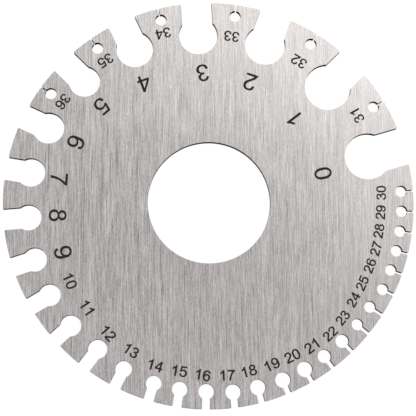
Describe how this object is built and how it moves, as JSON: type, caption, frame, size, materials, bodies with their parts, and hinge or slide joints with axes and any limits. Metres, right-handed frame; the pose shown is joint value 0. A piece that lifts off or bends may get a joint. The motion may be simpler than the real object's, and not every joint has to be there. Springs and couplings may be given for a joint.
{
  "type": "wire gauge",
  "caption": "Round flat steel gauge with a keyhole slot for each sheet and wire gauge number round its rim and a plain hole in the middle to hang it by.",
  "frame": {"origin": "on the axis of the middle hole, at the underside of the plate", "axes": "+Z out of the numbered face, +Y towards the top of the picture, so that number 16 reads upright at the -Y end"},
  "size_m": [0.085, 0.085, 0.0015],
  "materials": {
    "steel": "brushed stainless steel, fine straight grain, satin"
  },
  "bodies": {
    "root": {"gauge_plate": "steel"}
  },
  "joints": []
}
